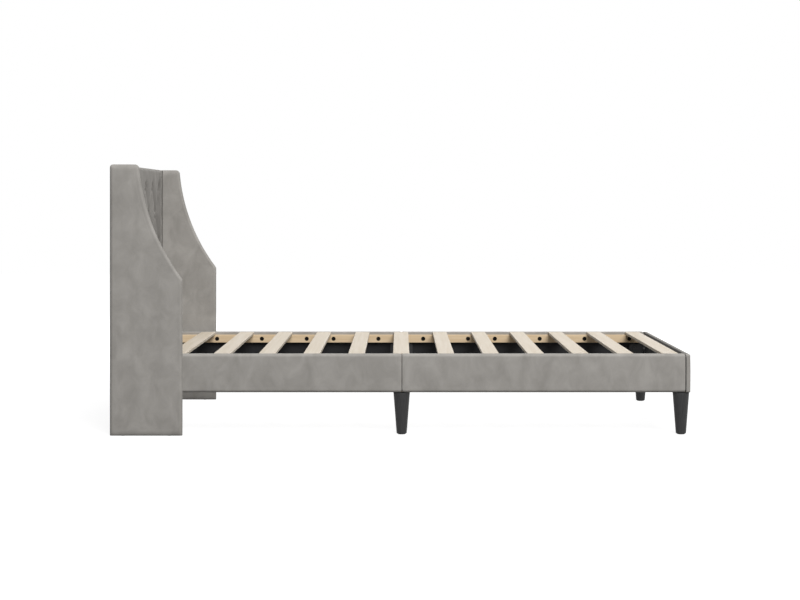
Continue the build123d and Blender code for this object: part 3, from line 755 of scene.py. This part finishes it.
# Headboard: a board between the wings, with a deep foam and velvet pad sewn into diamonds,
# a thin velvet stretch below it and black cloth over the back.
row_top = 0.847
row_pitch = 0.105
button_rows = (6, 5, 6, 5)
pleat_reach = 0.062
pleat_depth = 0.0066
pleat_power = 2.1
pleat_sideways = 0.6
pinch_reach = 0.017
pinch_depth = 0.0055
gather_count = 9
gather_depth = 0.0005
gather_reach = 0.026
gather_start = 0.012
button_radius = 0.0108
button_base = 0.0100
button_height = 0.0052
button_skirt = 0.0014
button_sunk = 0.002
button_tip = 0.0001
button_segments = 32
pad_grid = 0.0031
pad_back_flap = 0.030
pad_side_reach = 0.060
pad_side_drop = 0.0152
pad_side_round = 0.012
pad_front_radius = 0.010
pad_edge_fade = 0.03
pad_wave = 0.17
pad_wave_depth = 0.0005
# Painted shade: the pad's velvet is the wings' velvet darkened by this share, for the light it
# gets facing along the bed.
pad_painted_shade = 0.68
crest_front_radius = 0.011
crest_back_radius = 0.012
welt_half_width = 0.0014
welt_half_depth = 0.0026
welt_back = 0.0018
welt_over = 0.0004
welt_sway = 0.0003
welt_sway_rate = 90
welt_sides = 12
welt_rings = 90
welt_foot_gap = 0.004
welt_top_gap = 0.003
# Painted shadow: the welt's velvet is darkened by this share to draw a dark line in the joint.
joint_painted_shadow = 0.5

pad_low, pad_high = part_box("headboard_pad")
core_low, core_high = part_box("headboard_core")
half_width = pad_high.y
column_pitch = 2 * half_width / button_rows[0]
tufts = [((place - (count - 1) / 2) * column_pitch, row_top - row * row_pitch, row)
         for row, count in enumerate(button_rows) for place in range(count)]


def nearest_pleat(across, up):
    """Distance from each point of the pad to the nearest pleat, a straight line between buttons
    of two rows: the gap to the foot of the perpendicular, kept between the line's ends."""
    nearest = np.full(across.shape, 1.0)
    for start_y, start_z, start_row in tufts:
        for end_y, end_z, end_row in tufts:
            sideways = abs(end_y - start_y)
            if end_row != start_row + 1 or sideways > column_pitch * pleat_sideways:
                continue
            run_y, run_z = end_y - start_y, end_z - start_z
            share = ((across - start_y) * run_y + (up - start_z) * run_z) / (run_y**2 + run_z**2)
            share = np.clip(share, 0, 1)
            gap = np.hypot(across - start_y - share * run_y, up - start_z - share * run_z)
            nearest = np.minimum(nearest, gap)
    return nearest


def nearest_button(across, up):
    """Distance from each point of the pad to the nearest button, and the angle round it."""
    nearest = np.full(across.shape, 1.0)
    angle = np.zeros(across.shape)
    for spot_y, spot_z, _ in tufts:
        gap = np.hypot(across - spot_y, up - spot_z)
        closer = gap < nearest
        angle = np.where(closer, np.arctan2(up - spot_z, across - spot_y), angle)
        nearest = np.minimum(nearest, gap)
    return nearest, angle


def tuft_hollow(across, up):
    """Depth of the pad below its crown, a sum of three. A pleat is its depth times a power of one
    less the gap over its reach. A button's pinch falls off as e to the minus square of the gap
    over its reach. The gathers round a button are a cosine of the turn round it that fades."""
    fold = np.clip(1 - nearest_pleat(across, up) / pleat_reach, 0, 1)
    gap, angle = nearest_button(across, up)
    pinch = np.exp(-(gap / pinch_reach) ** 2)
    gathers = gather_depth * np.cos(angle * gather_count) * np.exp(-(gap / gather_reach) ** 2)
    gathers = gathers * np.clip(gap / gather_start, 0, 1)
    return pleat_depth * fold**pleat_power + pinch_depth * pinch + gathers


# The pad is its outline carried across the bed. Towards each side its front draws back as a
# quarter ellipse. The hollows and slow waves sink in from the front, and fade in a straight
# line towards its edges.
front_x, back_x = pad_high.x, pad_low.x
board_x, behind_x = core_high.x, core_low.x
section = loop_points([
    (front_x, pad_low.z, pad_front_radius), (front_x, pad_high.z, crest_front_radius),
    (back_x, pad_high.z, crest_back_radius), (back_x, core_high.z - pad_back_flap, 0),
    (behind_x, core_high.z - pad_back_flap, 0), (behind_x, core_high.z, 0),
    (board_x, core_high.z, 0), (board_x, pad_low.z, 0)], pad_grid)
stations = -half_width + end_spaced(2 * half_width, pad_side_round, pad_grid)
across = np.repeat(stations[:, None], len(section), axis=1)
up = np.repeat(section[None, :, 1], len(stations), axis=0)
side_gap = half_width - np.abs(stations)
front_share = np.clip((section[:, 0] - board_x) / (front_x - board_x), 0, 1)
side_rise = 1 - np.clip(side_gap / pad_side_reach, 0, 1)
draw_in = (pad_side_drop * (1 - np.sqrt(1 - side_rise**2)))[:, None] * front_share
edge_gap = np.minimum(section[:, 1] - pad_low.z, pad_high.z - section[:, 1])
face_share = np.clip(edge_gap / pad_edge_fade, 0, 1) * np.clip(front_share * 4 - 3, 0, 1)
side_fade = np.clip(side_gap / pad_edge_fade, 0, 1)[:, None]
waves = unevenness(stations[:, None], section[None, :, 1], seed=12, scale=pad_wave)
drop = (tuft_hollow(across, up) + pad_wave_depth * waves) * face_share * side_fade
points = np.stack([section[None, :, 0] - draw_in - drop, across, up], axis=-1).reshape(-1, 3)

# The pad and its buttons wear the darkened velvet: painted shade.
shaded_pad_velvet = velvet("grey_velvet_painted_pad_shade", pad_painted_shade)
pad = add_piece("tufted_pad", points, ring_faces(len(stations), len(section)), shaded_pad_velvet,
                ["headboard_pad"])

# A button is a turned cap: a short skirt that is sunk in its hollow, then a quarter ellipse.
button_profile = [(button_tip, -button_sunk), (button_radius * 0.8, -button_sunk),
                  (button_radius * 0.97, 0)]
button_profile += [(button_radius * math.cos(turn),
                    button_skirt + (button_height - button_skirt) * math.sin(turn))
                   for turn in np.radians(np.linspace(0, 88, 9))]
button_points = [turned(button_profile, (front_x - button_base, spot_y, spot_z), "x",
                        button_segments) for spot_y, spot_z, _ in tufts]
button_faces = repeated(ring_faces(len(button_profile), button_segments), len(tufts),
                        len(button_profile) * button_segments)
add_piece("covered_buttons", np.concatenate(button_points), button_faces, shaded_pad_velvet,
          ["tuft_buttons"])

# A welt fills the joint between the pad and each wing: an oval carried straight up, which
# sways forwards and back as a sine of the height. Its darker velvet is a painted shadow along the
# joint.
shadowed_joint_velvet = velvet("grey_velvet_painted_joint_shadow", joint_painted_shadow)
welt_turn = np.linspace(0, 2 * np.pi, welt_sides, endpoint=False)
welt_foot, welt_top = pad_low.z + welt_foot_gap, pad_high.z - welt_top_gap
welt_rise = np.linspace(welt_foot, welt_top, welt_rings)[:, None]
welt_sways = welt_sway * np.sin(welt_rise * welt_sway_rate)
welt_x = front_x - welt_back + welt_half_depth * np.cos(welt_turn) + welt_sways
welt_y = half_width - welt_half_width * np.sin(welt_turn) + welt_over
for side, facing in both_sides:
    welt_points = np.stack(np.broadcast_arrays(welt_x, facing * welt_y, welt_rise), axis=-1)
    add_piece(f"shadow_welt_{side}", welt_points.reshape(-1, 3),
              ring_faces(welt_rings, welt_sides), shadowed_joint_velvet)

finish_node("headboard_core", bare_board)
cloth_panel("stretched_skirt", "headboard_skirt_cover", "x", 1, grey_velvet,
            seed=43)
cloth_panel("stapled_back_cloth", "headboard_back_cover", "x", -1,
            lining_cloth, seed=44)
finish_node("wing_dowels", bare_board)


# Wings: a board each side of the headboard, padded and covered in velvet that is drawn
# round the edge. A seam follows the hollow front edge. Plastic glides stand under them.
wing_back = -0.983
wing_top_depth = 0.0986
wing_waist = (0.1465, 0.704)
wing_elbow = (0.2453, 0.528)
wing_elbow_round = 0.010
wing_front_corner = 0.016
wing_back_corner = 0.010
wing_outline_step = 0.01
wing_hollow_points = 36
wing_rows = 130
wing_columns = 22
wing_rim_steps = 10
wing_seam_steps = 16
wing_back_steps = 6
wing_back_reach = 0.03
wing_crown = 0.0009
wing_crown_fade = 0.03
wing_wave = 0.2
rim_reach = {"back": 0.013, "top": 0.024, "front": 0.0085}
rim_blend = 0.002
wing_foot = 0.0003
wing_bottom_reach = 0.018
wing_bottom_draw = 0.0065
seam_inset = 0.0145
seam_width = 0.0014
seam_depth = 0.00022
seam_reach = 0.06
tiny = 1e-6


def arc_through(first, second, third, count):
    """Points of the arc of a circle from the first point through the second to the third. Its
    middle is equally far from all three: two linear equations, solved by their determinants."""
    (ax, ay), (bx, by), (cx, cy) = first, second, third
    scale = 2 * (ax * (by - cy) + bx * (cy - ay) + cx * (ay - by))
    a_far, b_far, c_far = ax**2 + ay**2, bx**2 + by**2, cx**2 + cy**2
    middle_x = (a_far * (by - cy) + b_far * (cy - ay) + c_far * (ay - by)) / scale
    middle_y = (a_far * (cx - bx) + b_far * (ax - cx) + c_far * (bx - ax)) / scale
    radius = math.hypot(ax - middle_x, ay - middle_y)
    start = math.atan2(ay - middle_y, ax - middle_x)
    end = math.atan2(cy - middle_y, cx - middle_x)
    if abs(end - start) > math.pi:
        end -= math.copysign(2 * math.pi, end - start)
    angles = np.linspace(start, end, count)
    return np.stack([middle_x + radius * np.cos(angles), middle_y + radius * np.sin(angles)],
                    axis=-1)


wing_low, wing_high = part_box("wing_cover_left")
hollow_front = arc_through(wing_elbow, wing_waist, (wing_top_depth, wing_high.z),
                           wing_hollow_points)
wing_corners = [(0, wing_foot, 0), (wing_elbow[0], wing_foot, 0), (*wing_elbow, wing_elbow_round)]
wing_corners += [(*spot, 0) for spot in hollow_front[1:-1]]
wing_corners += [(wing_top_depth, wing_high.z, wing_front_corner),
                 (0, wing_high.z, wing_back_corner)]
outline = loop_points(wing_corners, wing_outline_step)


def outline_gap(across, up, closed_outline):
    """Distance from each point to the nearest stretch of an outline, leaving out its level lowest
    side: the gap to the foot of the perpendicular, kept between the stretch's ends."""
    nearest = np.full(across.shape, 1.0)
    for start, end in zip(closed_outline, np.roll(closed_outline, -1, axis=0)):
        run = end - start
        if run @ run < tiny**2 or max(start[1], end[1]) < wing_foot + tiny:
            continue
        share = ((across - start[0]) * run[0] + (up - start[1]) * run[1]) / (run @ run)
        share = np.clip(share, 0, 1)
        gap = np.hypot(across - start[0] - share * run[0], up - start[1] - share * run[1])
        nearest = np.minimum(nearest, gap)
    return nearest


# The wing's grid has a row for each level. A row runs from the back of the outline to its
# front, with close steps near both edges and over the rounds at the top and the foot. The
# lowest row comes twice: its first copy closes the wing underneath.
turn = np.linspace(0, np.pi / 2, wing_rim_steps)
edge_steps = {edge: reach * (1 - np.cos(turn)) for edge, reach in rim_reach.items()}
wing_height = wing_high.z - wing_foot
levels = np.concatenate([
    wing_bottom_reach * (1 - np.cos(turn)),
    np.linspace(wing_bottom_reach, wing_height - rim_reach["top"], wing_rows)[1:-1],
    (wing_height - edge_steps["top"])[::-1]]) + wing_foot
levels = np.concatenate([levels[:1], levels])
rising = outline[np.argsort(outline[:, 1], kind="stable")]
middle_depth = wing_top_depth / 2
in_back = rising[:, 0] < middle_depth
at_corner = rising[:, 0] < tiny
above_foot = rising[:, 1] > wing_foot + tiny
back_edge = rising[in_back & (above_foot | at_corner)]
front_edge = rising[rising[:, 0] > middle_depth]
back_at = np.interp(levels, back_edge[:, 1], back_edge[:, 0])
front_at = np.interp(levels, front_edge[:, 1], front_edge[:, 0])
span = (front_at - back_at)[:, None]
near_back = np.concatenate([
    edge_steps["back"], np.linspace(rim_reach["back"], wing_back_reach, wing_back_steps)[1:]])
near_front = np.concatenate([
    edge_steps["front"], np.linspace(rim_reach["front"], seam_inset * 2, wing_seam_steps)[1:]])
middle_share = np.linspace(0, 1, wing_columns)[1:-1]
near_total = near_back[-1] + near_front[-1]
columns = np.concatenate([
    np.repeat(near_back[None], len(levels), axis=0),
    near_back[-1] + (span - near_total) * middle_share,
    span - near_front[::-1]], axis=1) + back_at[:, None]
heights = np.repeat(levels[:, None], columns.shape[1], axis=1)
gap = outline_gap(columns, heights, outline)
gap[-1] = 0
gap[:, 0] = gap[:, -1] = 0

# Each face stands out from the wing's middle by half its thickness, and its rim draws that down
# to nought at the outline as a quarter ellipse. The rim's reach is the mean of those at the
# back, the top and the front, weighted by one over the square of the gap to each. The foot
# draws in as a quarter ellipse too. The seam is a groove, e to the minus square of the gap to
# its line over its width. The outer face swells by a crown times one plus slow waves, and that
# fades towards the outline and the foot.
edge_gaps = {"back": columns - back_at[:, None], "top": wing_high.z - heights,
             "front": front_at[:, None] - columns}
pulls = {edge: 1 / (np.clip(away, 0, 1) + rim_blend) ** 2 for edge, away in edge_gaps.items()}
reach = sum(pulls[edge] * rim_reach[edge] for edge in pulls) / sum(pulls.values())
rim = np.sqrt(np.clip(1 - (1 - np.clip(gap / reach, 0, 1)) ** 2, 0, 1))
foot_rise = 1 - np.clip((heights - wing_foot) / wing_bottom_reach, 0, 1)
half_thick = (wing_high.y - wing_low.y) / 2
foot_draw = wing_bottom_draw * (1 - np.sqrt(1 - foot_rise**2))
seam_line = np.exp(-(((gap - seam_inset) / seam_width) ** 2)) * (edge_gaps["front"] < seam_reach)
base = (half_thick - foot_draw) * rim - seam_depth * seam_line
base[0] = 0
crown = wing_crown * (1 + unevenness(columns, heights, seed=21, scale=wing_wave))
crown = crown * np.clip((gap - reach) / wing_crown_fade, 0, 1) * (1 - foot_rise)


def two_sided(rows, columns):
    """Quads of two like grids that share their border, as the two faces of a padded slab."""
    grid = np.arange(rows * columns).reshape(rows, columns)
    other = grid + rows * columns
    other[0], other[-1] = grid[0], grid[-1]
    other[:, 0], other[:, -1] = grid[:, 0], grid[:, -1]
    return grid_quads(grid).tolist() + grid_quads(other)[:, ::-1].tolist()


wing_faces = two_sided(*columns.shape)
for side, facing in both_sides:
    middle_y = facing * (abs(wing_low.y) + abs(wing_high.y)) / 2
    outer = np.stack([wing_back + columns, middle_y + facing * (base + crown), heights], axis=-1)
    inner = np.stack([wing_back + columns, middle_y - facing * base, heights], axis=-1)
    points = np.concatenate([outer.reshape(-1, 3), inner.reshape(-1, 3)])
    cover = add_piece(f"padded_wing_{side}", points, wing_faces, grey_velvet,
                      [f"wing_cover_{side}", f"wing_core_{side}"])
    cleaner = bmesh.new()
    cleaner.from_mesh(cover.data)
    loose = [vertex for vertex in cleaner.verts if not vertex.link_faces]
    bmesh.ops.delete(cleaner, geom=loose, context="VERTS")
    bmesh.ops.remove_doubles(cleaner, verts=cleaner.verts, dist=tiny)
    cleaner.to_mesh(cover.data)
    cleaner.free()
finish_node("wing_glides", glide_plastic)
